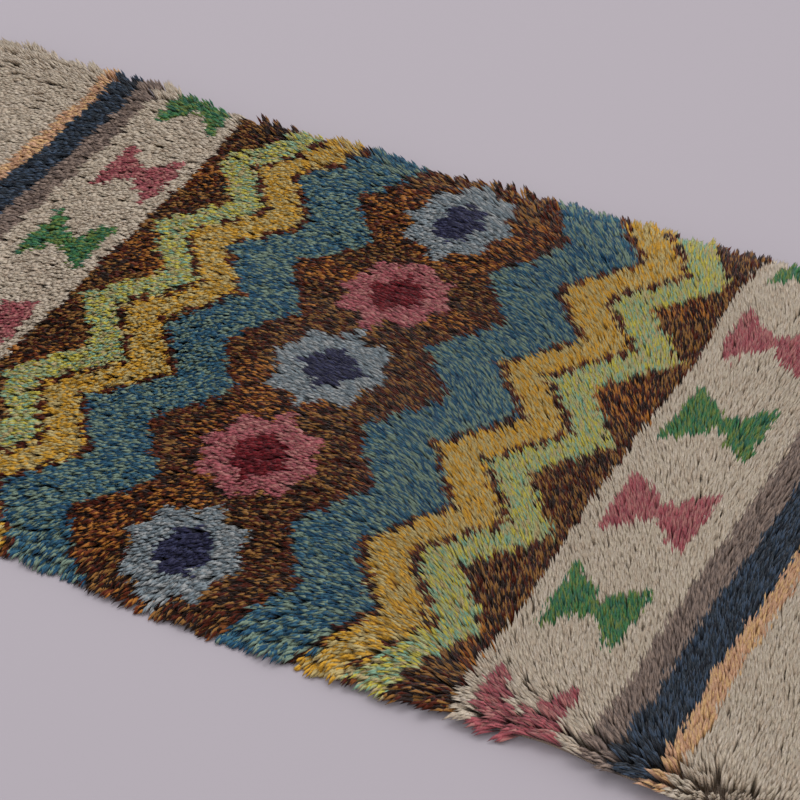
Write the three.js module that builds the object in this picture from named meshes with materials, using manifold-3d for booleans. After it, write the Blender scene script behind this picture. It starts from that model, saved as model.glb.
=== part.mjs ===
// A hand-knotted rya rug: one wool cloth with a long cut pile, lying flat on its back.
// Millimetres, +Z up, X along the warp and Y along the weft.
// The origin is on the floor under the middle of the rug.
import * as THREE from "three";
import { mergeVertices } from "three/addons/utils/BufferGeometryUtils.js";
import Module from "manifold-3d";

const wasm = await Module();
wasm.setup();

// The knotted cloth, as it was woven
const clothLength = 1400;
const clothWidth = 700;

// The pile is long cut yarn that leans over, so it stands about half as high as it is long
const pileLength = 38;
const crownHeight = 0.51 * pileLength;
const tuftUnevenness = 3.2;
const lumpPitch = 26; // one lump of the crown is a few knots that lean together

// The pile leans to the -X end and stands up more towards the +X end
const flatEndDrop = 3;
const uprightEndRise = 3;

// Broad swells of the crown, as waves across the rug
const swells = [
  { alongX: 410, alongY: 360, height: 1.1, phase: 0.7 },
  { alongX: 190, alongY: -260, height: 0.9, phase: 2.1 },
  { alongX: 97, alongY: 83, height: 0.8, phase: 4.0 },
];

// A hand-beaten edge wanders a little. Each wave moves the edge in and out.
const edgeWander = [
  { wave: 610, reach: 3.2, phase: 1.1 },
  { wave: 233, reach: 1.8, phase: 0.4 },
  { wave: 88, reach: 1.1, phase: 2.6 },
];
const wanderFade = 5; // the power by which an edge's wander dies away towards the middle
const cornerRounding = 9;
const cornerReach = { alongX: 40, alongY: 20 }; // powers: the larger, the shorter the rounding

// The side of the pile, from the crown down to the floor
const rimRings = [
  { beyondCloth: -5, shareOfCrown: 1 },
  { beyondCloth: 6, shareOfCrown: 0.74 },
  { beyondCloth: 9, shareOfCrown: 0.38 },
  { beyondCloth: 2, shareOfCrown: 0 },
];
const sideUnevenness = 1.6;

// Locks of yarn that stand out of the rim, each a few knots wide and leaf-shaped.
// reach is how far a lock's tip lies beyond the pile's shoulder, and tipHeight its height off the floor.
const lockPitch = 17;
const lockRoot = { inside: 13, width: 9, thickness: 6 };
const lockKnee = { width: 14, thickness: 7 };
const lockKneeShare = 0.3;
const cornerClear = 16;
const locksPerCorner = 3;
const rimSides = {
  near: { outX: 0, outY: -1, reach: 20, rootHeight: 9.5, kneeHeight: 10.5, tipHeight: 2.8, sideLean: -6 },
  uprightEnd: { outX: 1, outY: 0, reach: 14, rootHeight: 11, kneeHeight: 16, tipHeight: 21, sideLean: 3 },
  far: { outX: 0, outY: 1, reach: 17, rootHeight: 10.5, kneeHeight: 15.5, tipHeight: 22, sideLean: 5 },
  flatEnd: { outX: -1, outY: 0, reach: 23, rootHeight: 8.5, kneeHeight: 10.5, tipHeight: 5, sideLean: 4 },
};
const reachSpread = 0.25;
const leanSpread = 3;
const heightSpread = 0.25;

// Each seed starts its own run of uneven numbers
const seeds = { crown: 20, locks: 7 };

const woolBrown = new THREE.MeshStandardMaterial({ color: 0x6a4a34, roughness: 0.95, metalness: 0 });

const fullTurn = 2 * Math.PI;

// An even spread of numbers from -1 to 1, the same ones each time
function makeUneven(seed) {
  let state = seed;
  return () => {
    state = (Math.imul(state, 1664525) + 1013904223) >>> 0;
    return (state / 2 ** 32) * 2 - 1;
  };
}

function wander(along) {
  return edgeWander.reduce(
    (sum, { wave, reach, phase }) => sum + reach * Math.sin((fullTurn * along) / wave + phase),
    0,
  );
}

// The cloth's plan: acrossX and acrossY run from -1 to 1 between its edges
function planPoint(acrossX, acrossY) {
  const x = (acrossX * clothLength) / 2;
  const y = (acrossY * clothWidth) / 2;
  const nearCorner = Math.abs(acrossX) ** cornerReach.alongX * Math.abs(acrossY) ** cornerReach.alongY;
  const pull = cornerRounding * nearCorner;
  return {
    x: x + wander(y + clothLength) * acrossX ** wanderFade - Math.sign(acrossX) * pull,
    y: y + wander(x) * acrossY ** wanderFade - Math.sign(acrossY) * pull,
  };
}

// How high the leaning pile stands over a point of the cloth, before the unevenness of its tufts
function crownAt(x, y) {
  const along = (2 * x) / clothLength;
  const stand = along > 0 ? uprightEndRise * along : flatEndDrop * along;
  return swells.reduce(
    (sum, { alongX, alongY, height, phase }) =>
      sum + height * Math.sin(fullTurn * (x / alongX + y / alongY) + phase),
    crownHeight + stand,
  );
}

// One closed skin: a lumpy crown on a grid, rings down the side of the pile, and a flat back on the floor
function makePileSkin() {
  const uneven = makeUneven(seeds.crown);
  const cellsX = Math.round(clothLength / lumpPitch);
  const cellsY = Math.round(clothWidth / lumpPitch);
  const vertices = [];
  const faces = [];
  const addVertex = (x, y, z) => vertices.push(x, y, z) / 3 - 1;
  const planAt = (i, j) => planPoint((2 * i) / cellsX - 1, (2 * j) / cellsY - 1);

  const crownInset = -rimRings[0].beyondCloth;
  const crown = [];
  for (let i = 0; i <= cellsX; i++) {
    crown.push([]);
    for (let j = 0; j <= cellsY; j++) {
      const { x, y } = planAt(i, j);
      const inX = x * (1 - (2 * crownInset) / clothLength);
      const inY = y * (1 - (2 * crownInset) / clothWidth);
      crown[i].push(addVertex(inX, inY, crownAt(x, y) + tuftUnevenness * uneven()));
    }
  }
  for (let i = 0; i < cellsX; i++) {
    for (let j = 0; j < cellsY; j++) {
      const [a, b, c, d] = [crown[i][j], crown[i + 1][j], crown[i + 1][j + 1], crown[i][j + 1]];
      // The cell is split along alternate diagonals, so that the lumps have no grain
      if ((i + j) % 2) faces.push(a, b, c, a, c, d);
      else faces.push(a, b, d, b, c, d);
    }
  }

  // The grid's border, anticlockwise seen from above
  const border = [];
  for (let i = 0; i < cellsX; i++) border.push([i, 0]);
  for (let j = 0; j < cellsY; j++) border.push([cellsX, j]);
  for (let i = cellsX; i > 0; i--) border.push([i, cellsY]);
  for (let j = cellsY; j > 0; j--) border.push([0, j]);

  let above = border.map(([i, j]) => crown[i][j]);
  for (const { beyondCloth, shareOfCrown } of rimRings.slice(1)) {
    const ring = border.map(([i, j]) => {
      const { x, y } = planAt(i, j);
      const out = new THREE.Vector2((i === cellsX) - (i === 0), (j === cellsY) - (j === 0)).normalize();
      const reach = beyondCloth + (shareOfCrown > 0 ? sideUnevenness * uneven() : 0);
      return addVertex(x + out.x * reach, y + out.y * reach, shareOfCrown * crownAt(x, y));
    });
    ring.forEach((here, n) => {
      const next = (n + 1) % ring.length;
      faces.push(above[n], here, ring[next], above[n], ring[next], above[next]);
    });
    above = ring;
  }

  const backMiddle = addVertex(0, 0, 0);
  above.forEach((here, n) => faces.push(here, backMiddle, above[(n + 1) % above.length]));
  return meshOf(vertices, faces);
}

function meshOf(vertices, faces) {
  const geometry = new THREE.BufferGeometry();
  geometry.setAttribute("position", new THREE.Float32BufferAttribute(vertices, 3));
  geometry.setIndex(faces);
  return geometry;
}

// A lock of yarn with three sides: a root inside the pile, a wide knee where it bends over, and a tip
function makeLock(root, knee, tip, outward) {
  const side = new THREE.Vector3(-outward.y, outward.x, 0);
  const section = (middle, { width, thickness }) => [
    middle.clone().addScaledVector(side, -width / 2).add(new THREE.Vector3(0, 0, -thickness / 2)),
    middle.clone().addScaledVector(side, width / 2).add(new THREE.Vector3(0, 0, -thickness / 2)),
    middle.clone().add(new THREE.Vector3(0, 0, thickness / 2)),
  ];
  const corners = [...section(root, lockRoot), ...section(knee, lockKnee), tip];
  const faces = [0, 2, 1];
  for (let k = 0; k < 3; k++) {
    const next = (k + 1) % 3;
    faces.push(k, next, 3 + next, k, 3 + next, 3 + k, 3 + k, 3 + next, 6);
  }
  return meshOf(corners.flatMap(({ x, y, z }) => [x, y, z]), faces);
}

// The locks along one side of the rim, evenly spaced between its corners
function sideStations({ outX, outY, ...hang }) {
  const side = outX === 0 ? clothLength : clothWidth;
  const run = side - 2 * cornerClear;
  const gaps = Math.floor(run / lockPitch);
  const outward = new THREE.Vector3(outX, outY, 0);
  return Array.from({ length: gaps + 1 }, (_, n) => {
    const along = ((2 * n) / gaps - 1) * (run / side);
    return { acrossX: outX || along, acrossY: outY || along, outward, hang };
  });
}

// The locks that fan round the corner from one side to the next
function cornerStations(from, to) {
  return Array.from({ length: locksPerCorner }, (_, n) => {
    const share = (n + 0.5) / locksPerCorner;
    const turn = (share * Math.PI) / 2;
    const outward = new THREE.Vector3(from.outX, from.outY, 0)
      .multiplyScalar(Math.cos(turn))
      .add(new THREE.Vector3(to.outX, to.outY, 0).multiplyScalar(Math.sin(turn)));
    const hang = {};
    for (const name of ["reach", "rootHeight", "kneeHeight", "tipHeight", "sideLean"]) {
      hang[name] = THREE.MathUtils.lerp(from[name], to[name], share);
    }
    return { acrossX: from.outX + to.outX, acrossY: from.outY + to.outY, outward, hang };
  });
}

function makeRimLocks() {
  const uneven = makeUneven(seeds.locks);
  const shoulder = rimRings[1].beyondCloth;
  const round = Object.values(rimSides);
  const stations = round.flatMap((side, n) => [
    ...sideStations(side),
    ...cornerStations(side, round[(n + 1) % round.length]),
  ]);
  return stations.map(({ acrossX, acrossY, outward, hang }) => {
    const { x, y } = planPoint(acrossX, acrossY);
    const side = new THREE.Vector3(-outward.y, outward.x, 0);
    const reach = hang.reach * (1 + reachSpread * uneven());
    const lean = hang.sideLean + leanSpread * uneven();
    const lift = 1 + heightSpread * uneven();
    const place = (out, sideways, z) =>
      new THREE.Vector3(x, y, z).addScaledVector(outward, out).addScaledVector(side, sideways);
    return makeLock(
      place(-lockRoot.inside, 0, hang.rootHeight),
      place(shoulder + reach * lockKneeShare, lean * lockKneeShare, hang.kneeHeight),
      place(shoulder + reach, lean, hang.tipHeight * lift),
      outward,
    );
  });
}

function solidOf(geometry) {
  const merged = mergeVertices(geometry);
  return new wasm.Manifold(
    new wasm.Mesh({
      numProp: 3,
      vertProperties: new Float32Array(merged.attributes.position.array),
      triVerts: new Uint32Array(merged.index.array),
    }),
  );
}

function geometryOf(solid) {
  const { vertProperties, triVerts } = solid.getMesh();
  return meshOf(Array.from(vertProperties), Array.from(triVerts));
}

// The uneven rim leaves the middle a few millimetres off, so the rug is moved to lie centred on the origin
function centreOnFloor(geometry) {
  geometry.computeBoundingBox();
  const middle = geometry.boundingBox.getCenter(new THREE.Vector3());
  return geometry.translate(-middle.x, -middle.y, 0);
}

function makeRug() {
  const pile = makeRimLocks().reduce((joined, lock) => joined.add(solidOf(lock)), solidOf(makePileSkin()));
  const rug = new THREE.Mesh(centreOnFloor(geometryOf(pile)), woolBrown);
  rug.name = "knotted_rug";
  return rug;
}

const rya = new THREE.Group();
rya.name = "rya_rug";
rya.add(makeRug());

export default rya;
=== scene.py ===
# A hand-knotted wool rug with a long cut pile, lying flat on a pale floor.
import math

import bpy
import numpy as np
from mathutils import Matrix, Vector, noise


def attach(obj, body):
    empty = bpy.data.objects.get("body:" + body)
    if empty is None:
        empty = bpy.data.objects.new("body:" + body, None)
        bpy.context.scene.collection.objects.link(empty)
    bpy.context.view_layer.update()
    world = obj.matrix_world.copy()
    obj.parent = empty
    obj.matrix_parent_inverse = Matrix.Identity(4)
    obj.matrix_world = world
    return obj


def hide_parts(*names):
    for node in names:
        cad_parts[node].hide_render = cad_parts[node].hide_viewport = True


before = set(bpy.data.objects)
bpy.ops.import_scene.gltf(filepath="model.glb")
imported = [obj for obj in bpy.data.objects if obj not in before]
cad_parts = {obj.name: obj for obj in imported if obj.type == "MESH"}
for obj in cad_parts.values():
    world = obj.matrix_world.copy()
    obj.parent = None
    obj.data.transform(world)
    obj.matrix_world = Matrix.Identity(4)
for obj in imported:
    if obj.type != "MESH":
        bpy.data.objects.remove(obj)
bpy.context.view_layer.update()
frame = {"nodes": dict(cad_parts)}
rugNode = next(iter(frame["nodes"]))  # the one solid, which the whole rug stands in for
mm = 0.001


def linear(hexColour):  # an sRGB hex value as the linear colour that a socket holds
    parts = [int(hexColour[i : i + 2], 16) / 255 for i in (1, 3, 5)]
    return [c / 12.92 if c <= 0.04045 else ((c + 0.055) / 1.055) ** 2.4 for c in parts] + [1.0]


def addNode(tree, kind, links=None, **settings):  # links gives an input a node, a socket or a plain value
    node = tree.nodes.new(kind)
    for name, value in settings.items():
        setattr(node, name, value)
    for place, source in (links or {}).items():
        if isinstance(source, bpy.types.Node):
            source = next(socket for socket in source.outputs if socket.enabled)
        if isinstance(source, bpy.types.NodeSocket):
            tree.links.new(source, node.inputs[place])
        else:
            node.inputs[place].default_value = source
    return node


def newMaterial(name):
    material = bpy.data.materials.new(name)
    material.use_nodes = True
    tree = material.node_tree
    return material, tree, tree.nodes["Principled BSDF"]


def newObject(name, mesh):
    made = bpy.data.objects.new(name, mesh)
    bpy.context.scene.collection.objects.link(made)
    return made


# The camera: a long lens, so the rug's far edge is hardly narrower than its near one
cameraView = {
    "lens": 108.0,  # mm
    "sensor": 36.0,
    "azimuth": 27.72,  # degrees round from the rug's near side
    "lookDown": 39.25,
    "aim": (0.0735, -0.0197, 0.020),  # the middle of the picture, on top of the pile
    "distance": 2.314,
    "sight": (0.05, 60.0),  # metres, nearest and farthest
}


def makeCamera():
    a, e = math.radians(cameraView["azimuth"]), math.radians(cameraView["lookDown"])
    back = Vector((math.sin(a) * math.cos(e), -math.cos(a) * math.cos(e), math.sin(e)))
    data = bpy.data.cameras.new("photoCamera")
    data.lens, data.sensor_width = cameraView["lens"], cameraView["sensor"]
    data.clip_start, data.clip_end = cameraView["sight"]
    camera = newObject("photoCamera", data)
    camera.location = Vector(cameraView["aim"]) + back * cameraView["distance"]
    camera.rotation_mode = "QUATERNION"
    camera.rotation_quaternion = (-back).to_track_quat("-Z", "Y")
    bpy.context.scene.camera = camera


# The studio: a pale floor under one wide soft light, with even light all round
studio = {
    "floorColour": "#a09ba0",
    "floorSize": 30.0,
    "grainScale": 900.0,  # to the metre
    "grainTone": (0.99, 1.01),
    "skyColour": "#e2dee2",
    "skyStrength": 1.42,
    "lampPower": 30.0,
    "lampSize": 2.0,
    "lampPlace": (-0.6, 0.7, 3.2),
}


def makeStudio():
    # Matt emulsion, rolled on: no gloss to mirror the rug, only a faint grain
    material, tree, shader = newMaterial("mattPaintedFloor")
    coords = addNode(tree, "ShaderNodeTexCoord").outputs["Object"]
    grain = {"Vector": coords, "Scale": studio["grainScale"], "Detail": 2.0}
    grain = addNode(tree, "ShaderNodeTexNoise", grain)
    darkest, palest = studio["grainTone"]
    tint = addNode(tree, "ShaderNodeMapRange", {"Value": grain, "To Min": darkest, "To Max": palest})
    floorColour = linear(studio["floorColour"])[:3]
    paint = addNode(tree, "ShaderNodeVectorMath", {0: floorColour, "Scale": tint}, operation="SCALE")
    tree.links.new(paint.outputs[0], shader.inputs["Base Color"])
    shader.inputs["Roughness"].default_value = 0.85
    shader.inputs["Specular IOR Level"].default_value = 0.2
    half = studio["floorSize"] / 2
    corners = [(-half, -half, 0), (half, -half, 0), (half, half, 0), (-half, half, 0)]
    mesh = bpy.data.meshes.new("floor")
    mesh.from_pydata(corners, [], [(0, 1, 2, 3)])
    mesh.materials.append(material)
    newObject("floor", mesh)

    lamp = bpy.data.lights.new("softBox", "AREA")
    lamp.shape, lamp.size, lamp.energy = "DISK", studio["lampSize"], studio["lampPower"]
    box = newObject("softBox", lamp)
    box.location = studio["lampPlace"]
    box.rotation_mode = "QUATERNION"
    box.rotation_quaternion = (-Vector(studio["lampPlace"])).to_track_quat("-Z", "Y")

    world = bpy.data.worlds.new("studioLight")
    world.use_nodes = True
    background = world.node_tree.nodes["Background"]
    background.inputs["Color"].default_value = linear(studio["skyColour"])
    background.inputs["Strength"].default_value = studio["skyStrength"]
    bpy.context.scene.world = world
    bpy.context.scene.view_settings.view_transform = "Standard"


# The cloth as it was woven. The sizes are those of the solids.
cloth = {
    "length": 1.400,
    "width": 0.700,
    "middle": (0.0049, 0.0027),  # off the origin, as the solid's locks reach further on two sides
    "edgeWander": [  # wave, reach, phase
        (0.610, 3.2 * mm, 1.1),
        (0.233, 1.8 * mm, 0.4),
        (0.088, 1.1 * mm, 2.6),
    ],
    "wanderFade": 5,  # the higher these powers, the nearer to the edge or the corner it stays
    "cornerFade": (40, 20),
    "cornerRounding": 9 * mm,
    "groundThickness": 2.4 * mm,
    "knotPitchX": 8.4 * mm,  # from one row of knots to the next
    "knotPitchY": 6.4 * mm,  # from knot to knot along a row
}


def planPoint(acrossX, acrossY):  # both run from -1 to 1 between the cloth's edges
    x = acrossX * cloth["length"] / 2
    y = acrossY * cloth["width"] / 2
    fade = cloth["wanderFade"]
    fadeX, fadeY = cloth["cornerFade"]
    pull = cloth["cornerRounding"] * np.abs(acrossX) ** fadeX * np.abs(acrossY) ** fadeY

    def wander(along):
        waves = cloth["edgeWander"]
        return sum(reach * np.sin(2 * math.pi * along / wave + phase) for wave, reach, phase in waves)

    return (
        x + wander(y + cloth["length"]) * acrossX**fade - np.sign(acrossX) * pull + cloth["middle"][0],
        y + wander(x) * acrossY**fade - np.sign(acrossY) * pull + cloth["middle"][1],
    )


# Slow changes over the cloth, each from its own layer of the same noise
noiseLayers = ("leanShift", "leanTurn", "lockTurn", "lockLift", "flecks", "rimWander")
layerGap = 7.3  # so far apart that no two layers are alike


def noiseAt(x, y, size, layer):
    height = (noiseLayers.index(layer) + 1) * layerGap
    return noise.noise(Vector((x / size, y / size, height)))


# The design: bands laid across the rug, mirrored about its middle. Sizes are in metres along the rug.
design = {
    "zigzagWidth": 0.140,  # one peak and one valley, across the rug
    "zigzagHeight": 0.055,
    "zigzags": [  # from, to, yarn: how far each runs from the middle of the rug, at its valleys
        (0.062, 0.070, "russet"),
        (0.070, 0.142, "blue"),
        (0.142, 0.150, "russet"),
        (0.150, 0.192, "gold"),
        (0.192, 0.200, "russet"),
        (0.200, 0.240, "green"),
    ],
    "endBands": [  # from, to, yarn
        (0.302, 0.420, "cream"),
        (0.420, 0.445, "stone"),
        (0.445, 0.486, "charcoal"),
        (0.486, 0.500, "apricot"),
        (0.500, 0.710, "cream"),
    ],
    "starReach": 0.046,
    "starCore": 0.024,
    "hourglassPlace": 0.361,
    "hourglassReach": 0.040,
    "hourglassWaist": 0.010,
    "fleckSize": 0.075,  # patches of about this size, where lighter ends are knotted in with the brown
    "fleckLevel": 0.16,
}


def yarnAt(x, y):
    fromMiddle = abs(x)
    for start, end, yarn in design["endBands"]:
        if start <= fromMiddle < end:
            return (hourglassAt(fromMiddle, y) or yarn) if yarn == "cream" else yarn
    peak = abs((y / design["zigzagWidth"]) % 1 * 2 - 1) * design["zigzagHeight"]
    for start, end, yarn in design["zigzags"]:
        if start <= fromMiddle - peak < end:
            return yarn
    if noiseAt(x, y, design["fleckSize"], "flecks") > design["fleckLevel"]:
        return starAt(fromMiddle, y) or "flecked"
    return starAt(fromMiddle, y) or "brown"


def starAt(x, y):  # an eight-pointed star: a square and the same square turned by an eighth of a turn
    column = round(y / design["zigzagWidth"])
    y = abs(y - column * design["zigzagWidth"])
    reach = min(max(x, y), (x + y) / math.sqrt(2))
    outer, core = ("rose", "crimson") if column % 2 else ("sky", "navy")
    if reach < design["starCore"]:
        return core
    return outer if reach < design["starReach"] else None


def hourglassAt(x, y):  # two triangles, point to point, joined by a narrow waist
    column = math.floor(y / design["zigzagWidth"])
    y = abs(y - (column + 0.5) * design["zigzagWidth"])
    x = abs(x - design["hourglassPlace"])
    if x < design["hourglassReach"] and y < x + design["hourglassWaist"]:
        return "rose" if column % 2 else "leaf"
    return None


# How the pile leans. It lies nearly flat at the -X end and stands up and swings round towards
# the +X end. Round the rim it falls outwards. Angles are in degrees.
lean = {
    "along": [  # place, heading in plan, rise at the knot, rise at the tip
        (-0.70, 250, 46, 28),
        (-0.16, 246, 48, 28),
        (0.00, 222, 50, 28),
        (0.12, 188, 54, 34),
        (0.26, 154, 60, 46),
        (0.36, 122, 66, 56),
        (0.46, 88, 66, 54),
        (0.70, 64, 60, 46),
    ],
    "slant": 0.25,  # the far side is as far on as a place this much further along, for each metre across
    "lockSize": 0.034,  # ends lean together in locks about this wide
    "lockTurn": 11.0,
    "lockLift": 8.0,
    "knotTurn": 8.0,  # each knot's own turn and lift, either way
    "knotLift": 4.0,
    "rimTurn": 12.0,  # and what the rim adds to them
    "rimLift": 8.0,
    "swirlSize": 0.160,  # over areas this wide, the pile swings round and shifts to and fro
    "swirlTurn": 24.0,
    "swirlShift": 0.10,
    "rimWidth": 0.027,
    "rimWander": 0.016,  # the rim is wider and narrower by up to this, in waves of the next size
    "rimWaves": 0.060,
    "partingRise": 86.0,  # where the pile parts to fall outwards, it stands up
    "partingLie": 74.0,
}
rimSides = {  # for each side of the rim: outward, how hard the pile turns that way, rise and lie there
    "near": ((0, -1), 1.4, 32.0, -52.0),
    "far": ((0, 1), 1.0, 32.0, -4.0),
    "flatEnd": ((-1, 0), 0.8, 32.0, -26.0),
    "uprightEnd": ((1, 0), 1.6, 36.0, -4.0),
}


def leanAt(x, y, turn, lift):  # unit vectors of the pile over a point: from the knot, and at the tip
    places, headings, rises, lies = zip(*lean["along"])
    along = x + lean["slant"] * y + lean["swirlShift"] * noiseAt(x, y, lean["swirlSize"], "leanShift")
    heading = math.radians(np.interp(along, places, headings))
    rise, lie = np.interp(along, places, rises), np.interp(along, places, lies)
    way = Vector((math.cos(heading), math.sin(heading)))
    rim = 0.0
    for (outX, outY), pull, rimRise, rimLie in rimSides.values():
        fromMiddle = outX * (x - cloth["middle"][0]) + outY * (y - cloth["middle"][1])
        inside = abs(outX * cloth["length"] + outY * cloth["width"]) / 2 - fromMiddle
        inside += lean["rimWander"] * noiseAt(x, y, lean["rimWaves"], "rimWander")
        nearness = math.exp(-max(inside, 0) / lean["rimWidth"])
        way += Vector((outX, outY)) * pull * nearness
        rise += (rimRise - rise) * nearness
        lie += (rimLie - lie) * nearness
        rim = max(rim, nearness)
    parting = max(0, 1 - way.length)
    rise += (lean["partingRise"] - rise) * parting
    lie += (lean["partingLie"] - lie) * parting
    swirl = lean["swirlTurn"] * noiseAt(x, y, lean["swirlSize"], "leanTurn")
    lock = lean["lockTurn"] * noiseAt(x, y, lean["lockSize"], "lockTurn")
    own = turn * (lean["knotTurn"] + rim * lean["rimTurn"])
    lift = lift * (lean["knotLift"] + rim * lean["rimLift"])
    lift += lean["lockLift"] * noiseAt(x, y, lean["lockSize"], "lockLift")
    heading = math.atan2(way.y, way.x) + math.radians(swirl + lock + own)
    units = []
    for angle in (math.radians(rise + lift), math.radians(lie + lift)):
        flat = math.cos(angle)
        units.append(np.array((flat * math.cos(heading), flat * math.sin(heading), math.sin(angle))))
    return units


# The cut pile. Each knot holds a bundle of ends of two-ply yarn, which rise from it and bend over.
pile = {
    "seed": 12,
    "endsInKnot": 9,
    "yarnLength": 30 * mm,
    "yarnWidth": 3.3 * mm,
    "widestAt": 0.78,  # of its length
    "knotShift": 0.20,  # of the pitch, either way
    "laneStep": 0.382,  # each end starts so far from the one before it, as a part of the knot's breadth
    "knotMiddle": (0.43, 0.45, 0.0),  # about the middle of its ends
    "endsApart": (7.8 * mm, 6.0 * mm, 0.0),
    "rootSpread": (0.8 * mm, 0.8 * mm, 0.0),
    "stemSpread": (1.6 * mm, 1.6 * mm, 1.0 * mm),
    "sweepSpread": (2.2 * mm, 2.2 * mm, 0.9 * mm),
    "mostKnots": 3690,  # in a piece, so that each keeps under 200,000 triangles
    "stripsEach": 3,  # of each share of a shade, on the yarn's map
    "stripMargin": 0.05,  # left free at both sides of a strip
}
uvName = "OFBake"  # the yarn's own map


def makeKnots():  # each yarn's knots, as rows of place, stem and sweep
    rng = np.random.default_rng(pile["seed"])
    rows = round(cloth["length"] / cloth["knotPitchX"])
    columns = round(cloth["width"] / cloth["knotPitchY"])
    length = pile["yarnLength"]
    knots = {}
    for i in range(rows):
        for j in range(columns):
            shift = rng.uniform(-pile["knotShift"], pile["knotShift"], 2)
            turn, lift = rng.uniform(-1, 1, 2)
            gridX, gridY = 2 * (i + 0.5) / rows - 1, 2 * (j + 0.5) / columns - 1
            x, y = planPoint(gridX + 2 * shift[0] / rows, gridY + 2 * shift[1] / columns)
            yarn = yarnAt(gridX * cloth["length"] / 2, gridY * cloth["width"] / 2)
            rise, lie = leanAt(x, y, turn, lift)
            # A yarn's place at a part s of its length is the knot + stem * s + sweep * s * s
            stem, sweep = length * rise, length / 2 * (lie - rise)
            knots.setdefault(yarn, []).append((x, y, cloth["groundThickness"], *stem, *sweep))
    print(f"knots: {rows} rows of {columns}")
    return knots


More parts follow.
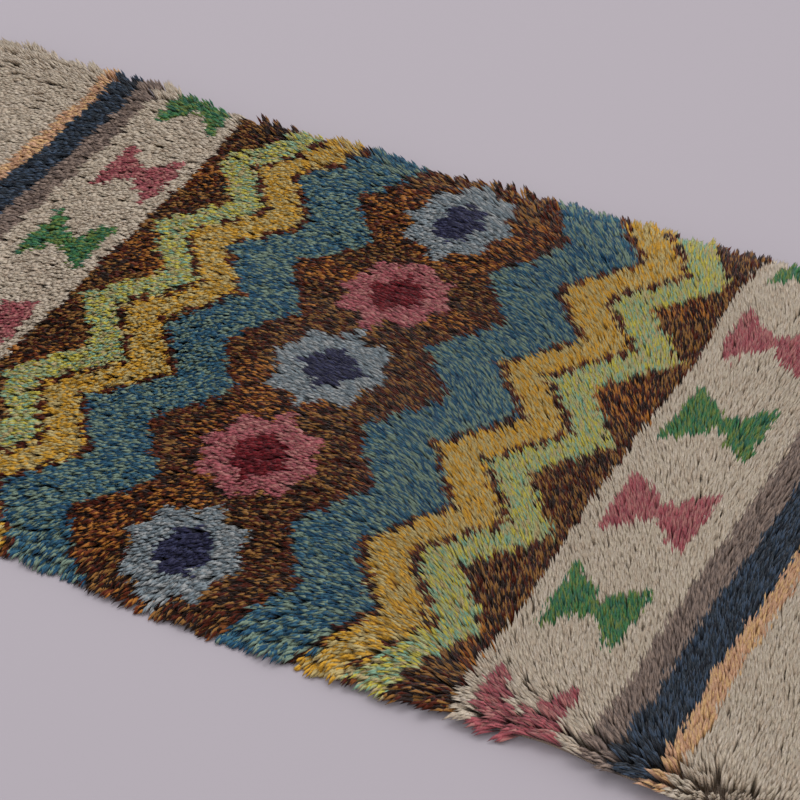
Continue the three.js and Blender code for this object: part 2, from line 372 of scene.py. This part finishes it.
def makePileTree():
    tree = bpy.data.node_groups.new("cutPile", "GeometryNodeTree")
    inputs = {
        "Knots": "NodeSocketGeometry",
        "Ends in a knot": "NodeSocketInt",
        "Ends apart": "NodeSocketVector",
        "Root spread": "NodeSocketVector",
        "Stem spread": "NodeSocketVector",
        "Sweep spread": "NodeSocketVector",
        "Yarn radius": "NodeSocketFloat",
        "Widest at": "NodeSocketFloat",
        "Strips": "NodeSocketInt",
        "Yarn": "NodeSocketMaterial",
    }
    for name, kind in inputs.items():
        tree.interface.new_socket(name=name, in_out="INPUT", socket_type=kind)
    tree.interface.new_socket(name="Pile", in_out="OUTPUT", socket_type="NodeSocketGeometry")
    given = addNode(tree, "NodeGroupInput").outputs

    # The ends leave a knot side by side, each with its own stem, sweep and look
    doubled = {"Geometry": given["Knots"], "Amount": given["Ends in a knot"]}
    ends = addNode(tree, "GeometryNodeDuplicateElements", doubled, domain="POINT")
    held = addNode(tree, "GeometryNodeCaptureAttribute", {"Geometry": ends}, domain="POINT")
    number = ends.outputs["Duplicate Index"]
    row = addNode(tree, "ShaderNodeMath", {0: number, 1: given["Ends in a knot"]}, operation="DIVIDE")
    lane = addNode(tree, "ShaderNodeMath", {0: number, 1: pile["laneStep"]}, operation="MULTIPLY")
    lane = addNode(tree, "ShaderNodeMath", {0: lane}, operation="FRACT")
    inKnot = {0: addNode(tree, "ShaderNodeCombineXYZ", {0: row, 1: lane}), 1: pile["knotMiddle"]}
    inKnot = addNode(tree, "ShaderNodeVectorMath", inKnot, operation="SUBTRACT")
    apart = {0: inKnot, 1: given["Ends apart"], 2: addNode(tree, "GeometryNodeInputPosition")}
    sources = {"Root": addNode(tree, "ShaderNodeVectorMath", apart, operation="MULTIPLY_ADD")}
    for name in ("Stem", "Sweep"):
        onKnot = {"Name": name.lower()}
        onKnot = addNode(tree, "GeometryNodeInputNamedAttribute", onKnot, data_type="FLOAT_VECTOR")
        sources[name] = onKnot
    for seed, (name, source) in enumerate(sources.items(), start=1):
        draw = {0: (-1, -1, -1), 1: (1, 1, 1), "Seed": seed}
        drawn = addNode(tree, "FunctionNodeRandomValue", draw, data_type="FLOAT_VECTOR")
        spread = {0: drawn, 1: given[name + " spread"], 2: source}
        placed = addNode(tree, "ShaderNodeVectorMath", spread, operation="MULTIPLY_ADD")
        held.capture_items.new("VECTOR", name)
        tree.links.new(placed.outputs[0], held.inputs[name])
    last = addNode(tree, "ShaderNodeMath", {0: given["Strips"], 1: 1.0}, operation="SUBTRACT")
    strip = addNode(tree, "FunctionNodeRandomValue", {4: 0, 5: last, "Seed": 8}, data_type="INT")
    held.capture_items.new("FLOAT", "Strip")
    tree.links.new(strip.outputs[2], held.inputs["Strip"])

    # A spindle of six faces stands on each root: a yarn this thin needs no more. It swells
    # from its foot, which the others hide, and is drawn in again at the cut tip.
    spindle = addNode(tree, "GeometryNodeMeshUVSphere", {"Segments": 3, "Rings": 2, "Radius": 1.0})
    marked = addNode(tree, "GeometryNodeCaptureAttribute", {"Geometry": spindle}, domain="CORNER")
    marked.capture_items.new("VECTOR", "Girth")
    tree.links.new(spindle.outputs["UV Map"], marked.inputs["Girth"])
    shaped = addNode(tree, "GeometryNodeCaptureAttribute", {"Geometry": marked}, domain="POINT")
    shaped.capture_items.new("VECTOR", "Place")
    tree.links.new(addNode(tree, "GeometryNodeInputPosition").outputs[0], shaped.inputs["Place"])
    stood = {"Points": held.outputs["Geometry"], "Instance": shaped.outputs["Geometry"]}
    stood = addNode(tree, "GeometryNodeInstanceOnPoints", stood)
    stood = addNode(tree, "GeometryNodeRealizeInstances", {"Geometry": stood})
    x, y, z = addNode(tree, "ShaderNodeSeparateXYZ", {0: shaped.outputs["Place"]}).outputs
    # Along it, the sphere's lower pole is 0, its ring is where the yarn is widest, and its top is 1
    swelling = {"Value": z, "From Min": -1.0, "From Max": 0.0, "To Max": given["Widest at"]}
    swelling = addNode(tree, "ShaderNodeMapRange", swelling)
    rest = addNode(tree, "ShaderNodeMath", {0: 1.0, 1: given["Widest at"]}, operation="SUBTRACT")
    closing = addNode(tree, "ShaderNodeMapRange", {"Value": z, "To Max": rest})
    along = addNode(tree, "ShaderNodeMath", {0: swelling, 1: closing}, operation="ADD")

    # Bend it, and keep it off the floor
    stem = held.outputs["Stem"]
    squared = addNode(tree, "ShaderNodeMath", {0: along, 1: along}, operation="MULTIPLY")
    risen = {0: stem, 1: along, 2: held.outputs["Root"]}
    risen = addNode(tree, "ShaderNodeVectorMath", risen, operation="MULTIPLY_ADD")
    bent = {0: held.outputs["Sweep"], 1: squared, 2: risen}
    bent = addNode(tree, "ShaderNodeVectorMath", bent, operation="MULTIPLY_ADD")
    away = -studio["floorSize"]  # so far off that only the height is held up
    lowest = addNode(tree, "ShaderNodeCombineXYZ", {0: away, 1: away, 2: given["Yarn radius"]})
    bent = addNode(tree, "ShaderNodeVectorMath", {0: bent, 1: lowest}, operation="MAXIMUM")

    # Its thickness goes on square to its stem
    side = addNode(tree, "ShaderNodeVectorMath", {0: stem, 1: (1, 0, 0)}, operation="CROSS_PRODUCT")
    side = addNode(tree, "ShaderNodeVectorMath", {0: side}, operation="NORMALIZE")
    front = addNode(tree, "ShaderNodeVectorMath", {0: stem, 1: side}, operation="CROSS_PRODUCT")
    front = addNode(tree, "ShaderNodeVectorMath", {0: front}, operation="NORMALIZE")
    for way, distance in ((side, x), (front, y)):
        out = addNode(tree, "ShaderNodeMath", {0: distance, 1: given["Yarn radius"]}, operation="MULTIPLY")
        bent = addNode(tree, "ShaderNodeVectorMath", {0: way, 1: out, 2: bent}, operation="MULTIPLY_ADD")
    skin = addNode(tree, "GeometryNodeSetPosition", {"Geometry": stood, "Position": bent})
    skin = addNode(tree, "GeometryNodeSetShadeSmooth", {"Geometry": skin, "Shade Smooth": True})

    # The map: a strip for each look of the yarn, with its girth across the strip and its length up it
    girth = addNode(tree, "ShaderNodeSeparateXYZ", {0: marked.outputs["Girth"]})
    margin = pile["stripMargin"]
    across = {"Value": girth, "To Min": margin, "To Max": 1 - margin}
    across = addNode(tree, "ShaderNodeMapRange", across)
    across = addNode(tree, "ShaderNodeMath", {0: across, 1: held.outputs["Strip"]}, operation="ADD")
    across = addNode(tree, "ShaderNodeMath", {0: across, 1: given["Strips"]}, operation="DIVIDE")
    onMap = addNode(tree, "ShaderNodeCombineXYZ", {0: across, 1: along})
    mapped = {"Geometry": skin, "Name": uvName, "Value": onMap}
    kept = {"data_type": "FLOAT2", "domain": "CORNER"}
    mapped = addNode(tree, "GeometryNodeStoreNamedAttribute", mapped, **kept)
    whole = addNode(tree, "GeometryNodeRealizeInstances", {"Geometry": mapped})
    dyed = addNode(tree, "GeometryNodeSetMaterial", {"Geometry": whole, "Material": given["Yarn"]})
    addNode(tree, "NodeGroupOutput", {"Pile": dyed})
    return tree


# The dyed yarns. Each knot mixes ends of a few shades, in these shares, which makes a field tweedy.
yarns = {
    "brown": {"#7e592c": 3, "#461a0b": 3, "#1e1008": 4},
    "flecked": {"#976229": 3, "#663318": 1, "#471909": 2, "#1e0e07": 4},
    "russet": {"#6d401e": 2, "#44180a": 4, "#1e0f08": 3},
    "blue": {"#697b6b": 4, "#305667": 3, "#1e435b": 3},
    "gold": {"#b3892d": 4, "#a59563": 4, "#8f712c": 1},
    "green": {"#a89f42": 3, "#939a6d": 3, "#a19268": 2, "#73957c": 2},
    "cream": {"#afa491": 4, "#a79986": 3, "#b6ab9a": 2},
    "rose": {"#945054": 3, "#81454a": 2, "#9b6762": 3},
    "crimson": {"#64161d": 3, "#480d15": 3, "#6c2125": 2},
    "sky": {"#898d8c": 3, "#717c80": 3, "#616c71": 2},
    "navy": {"#292a42": 3, "#202136": 3, "#343751": 2},
    "leaf": {"#3b6c42": 3, "#60733a": 3, "#32604b": 2},
    "stone": {"#76675d": 3, "#847468": 3, "#5d514a": 2},
    "charcoal": {"#2a333b": 3, "#384656": 3, "#1e232a": 3},
    "apricot": {"#ba9577": 3, "#be9c6f": 3, "#aa8467": 2},
}


wool = {
    "groovePitch": 3.5 * mm,  # from one groove between the plies to the next, along the yarn
    "plyHeight": 0.25 * mm,
    # painted shade in the grooves between the plies
    "grooveShadeTone": 0.94,  # these tones are shares of the dye's own brightness
    "leastBatchTone": 0.88,
    # painted light: the lower part of each end is painted this much brighter, to lift the shade between
    # the ends
    "paintedFootLight": 1.75,
    "tipTone": 0.94,
    "footLightFullTo": 0.5,  # of its length
    "roughness": 0.92,
    "specular": 0.1,
    "sheen": 0.1,
    "sheenRoughness": 0.5,
}


def woolYarn(name, shades):
    # Two-ply wool, spun, dyed and cut: matt and a little ridged, with a soft sheen from its loose fibres
    material, tree, shader = newMaterial(f"{name}TwoPlyWool")
    onMap = addNode(tree, "ShaderNodeUVMap", uv_map=uvName)
    across, along, _ = addNode(tree, "ShaderNodeSeparateXYZ", {0: onMap}).outputs
    dye = addNode(tree, "ShaderNodeValToRGB", {0: across})
    dye.color_ramp.interpolation = "CONSTANT"
    stops, shares = dye.color_ramp.elements, sum(shades.values())
    done = 0
    for k, (shade, share) in enumerate(shades.items()):
        stop = stops[k] if k < 2 else stops.new(done / shares)
        stop.position, stop.color = done / shares, linear(shade)
        done += share

    # Strips of one shade differ a little, as hand-dyed yarn does
    strips = shares * pile["stripsEach"]
    inStrips = addNode(tree, "ShaderNodeMath", {0: across, 1: strips}, operation="MULTIPLY")
    strip = addNode(tree, "ShaderNodeMath", {0: inStrips}, operation="FLOOR")
    batch = addNode(tree, "ShaderNodeTexWhiteNoise", {"W": strip}, noise_dimensions="1D")
    uneven = addNode(tree, "ShaderNodeMapRange", {"Value": batch, "To Min": wool["leastBatchTone"]})
    # The plies wind round the yarn, and the grooves between them are painted darker: painted shade
    turns = {0: along, 1: pile["yarnLength"] / wool["groovePitch"], 2: inStrips}
    turns = addNode(tree, "ShaderNodeMath", turns, operation="MULTIPLY_ADD")
    turns = addNode(tree, "ShaderNodeMath", {0: turns, 1: 2 * math.pi}, operation="MULTIPLY")
    twist = addNode(tree, "ShaderNodeMath", {0: turns}, operation="SINE")
    grooveShade = {"Value": twist, "From Min": -1.0, "To Min": wool["grooveShadeTone"]}
    grooveShade = addNode(tree, "ShaderNodeMapRange", grooveShade)
    # Painted light: each end is painted brighter towards its foot, to lift the shade that falls between
    # the ends, and a little below its dye at the cut tip
    footLight = {"From Min": wool["footLightFullTo"], "To Min": wool["paintedFootLight"], "To Max": wool["tipTone"]}
    footLight = addNode(tree, "ShaderNodeMapRange", {"Value": along, **footLight})
    light = addNode(tree, "ShaderNodeMath", {0: uneven, 1: grooveShade}, operation="MULTIPLY")
    light = addNode(tree, "ShaderNodeMath", {0: light, 1: footLight}, operation="MULTIPLY")
    colour = addNode(tree, "ShaderNodeVectorMath", {0: dye, "Scale": light}, operation="SCALE")
    tree.links.new(colour.outputs[0], shader.inputs["Base Color"])
    ridges = {"Height": twist, "Strength": 0.2, "Distance": wool["plyHeight"]}
    ridges = addNode(tree, "ShaderNodeBump", ridges)
    tree.links.new(ridges.outputs[0], shader.inputs["Normal"])
    shader.inputs["Roughness"].default_value = wool["roughness"]
    shader.inputs["Specular IOR Level"].default_value = wool["specular"]
    shader.inputs["Sheen Weight"].default_value = wool["sheen"]
    shader.inputs["Sheen Roughness"].default_value = wool["sheenRoughness"]
    return material


def makePilePiece(name, knots, material, strips, tree):
    rows = np.array(knots)
    mesh = bpy.data.meshes.new(name)
    mesh.from_pydata(rows[:, :3].tolist(), [], [])
    for attribute, first in (("stem", 3), ("sweep", 6)):
        values = rows[:, first : first + 3].astype(np.float32).ravel()
        mesh.attributes.new(attribute, "FLOAT_VECTOR", "POINT").data.foreach_set("vector", values)
    holder = newObject(name + "Knots", mesh)
    modifier = holder.modifiers.new("cutPile", "NODES")
    modifier.node_group = tree
    sizes = {
        "Ends in a knot": pile["endsInKnot"],
        "Ends apart": pile["endsApart"],
        "Root spread": pile["rootSpread"],
        "Stem spread": pile["stemSpread"],
        "Sweep spread": pile["sweepSpread"],
        "Yarn radius": pile["yarnWidth"] / 2,
        "Widest at": pile["widestAt"],
        "Strips": strips,
        "Yarn": material,
    }
    for socket in tree.interface.items_tree:
        if socket.name in sizes:
            modifier[socket.identifier] = sizes[socket.name]
    evaluated = holder.evaluated_get(bpy.context.evaluated_depsgraph_get())
    piece = newObject(name, bpy.data.meshes.new_from_object(evaluated))
    bpy.data.objects.remove(holder)
    for attribute in ("stem", "sweep"):
        if attribute in piece.data.attributes:
            piece.data.attributes.remove(piece.data.attributes[attribute])
    return piece


def makePile():
    tree = makePileTree()
    pieces = []
    for yarn, knots in makeKnots().items():
        material = woolYarn(yarn, yarns[yarn])
        strips = sum(yarns[yarn].values()) * pile["stripsEach"]
        parts = math.ceil(len(knots) / pile["mostKnots"])
        for k in range(parts):
            name = f"{yarn}Pile{k + 1}" if parts > 1 else f"{yarn}Pile"
            share = knots[k * len(knots) // parts : (k + 1) * len(knots) // parts]
            pieces.append(makePilePiece(name, share, material, strips, tree))
            print(f"{name}: {len(share)} knots, {len(pieces[-1].data.polygons)} faces")
    return pieces


# The ground: a plain weave, whose wefts hold the rows of knots
ground = {
    "warpPitch": 4.0 * mm,
    "weftPitch": 2.6 * mm,
    "underside": 0.3 * mm,
    "cells": (60, 30),
    "colour": "#857565",
    # painted shade in the weave's hollows and a painted highlight on its ribs, as shares of the yarn's
    # colour
    "paintedWeaveShading": (0.7, 1.1),  # in its hollows, and on its ribs
    "ribHeight": 0.6 * mm,
    "roughness": 0.9,
}


def groundWeave():
    # Plain-woven wool on a wool warp, beaten tight: matt and ribbed
    material, tree, shader = newMaterial("plainWovenWoolGround")
    coords = addNode(tree, "ShaderNodeTexCoord").outputs["Object"]
    x, y, _ = addNode(tree, "ShaderNodeSeparateXYZ", {0: coords}).outputs
    ribs = []
    for place, pitch in ((x, ground["weftPitch"]), (y, ground["warpPitch"])):
        turns = addNode(tree, "ShaderNodeMath", {0: place, 1: 2 * math.pi / pitch}, operation="MULTIPLY")
        ribs.append(addNode(tree, "ShaderNodeMath", {0: turns}, operation="SINE"))
    weave = addNode(tree, "ShaderNodeMath", {0: ribs[0], 1: ribs[1]}, operation="MULTIPLY")
    # Painted shade in the hollows of the weave and a painted highlight on its ribs
    hollowShade, ribHighlight = ground["paintedWeaveShading"]
    weaveShading = {"Value": weave, "From Min": -1.0, "To Min": hollowShade, "To Max": ribHighlight}
    weaveShading = addNode(tree, "ShaderNodeMapRange", weaveShading)
    yarnColour = linear(ground["colour"])[:3]
    colour = addNode(tree, "ShaderNodeVectorMath", {0: yarnColour, "Scale": weaveShading}, operation="SCALE")
    tree.links.new(colour.outputs[0], shader.inputs["Base Color"])
    ridges = {"Height": weave, "Strength": 0.8, "Distance": ground["ribHeight"]}
    ridges = addNode(tree, "ShaderNodeBump", ridges)
    tree.links.new(ridges.outputs[0], shader.inputs["Normal"])
    shader.inputs["Roughness"].default_value = ground["roughness"]
    return material


def makeGround():
    across, up = ground["cells"]
    points, faces = [], []
    for z in (ground["underside"], cloth["groundThickness"]):
        for i in range(across + 1):
            for j in range(up + 1):
                x, y = planPoint(2 * i / across - 1, 2 * j / up - 1)
                points.append((x, y, z))

    def corner(i, j, level):
        return (level * (across + 1) + i) * (up + 1) + j

    for i in range(across):
        for j in range(up):
            around = [(i, j), (i + 1, j), (i + 1, j + 1), (i, j + 1)]
            faces.append([corner(*c, 1) for c in around])
            faces.append([corner(*c, 0) for c in reversed(around)])
    border = [(i, 0) for i in range(across)] + [(across, j) for j in range(up)]
    border += [(i, up) for i in range(across, 0, -1)] + [(0, j) for j in range(up, 0, -1)]
    for here, after in zip(border, border[1:] + border[:1]):
        faces.append([corner(*here, 0), corner(*after, 0), corner(*after, 1), corner(*here, 1)])
    mesh = bpy.data.meshes.new("wovenGround")
    mesh.from_pydata(points, [], faces)
    mesh.materials.append(groundWeave())
    return newObject("wovenGround", mesh)


makeCamera()
makeStudio()
print("camera and studio made")
wovenGround = makeGround()
print("ground woven")
pilePieces = makePile()
for piece in [wovenGround, *pilePieces]:
    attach(piece, "root")
    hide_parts(rugNode)
print(f"rug made of {len(pilePieces) + 1} pieces")
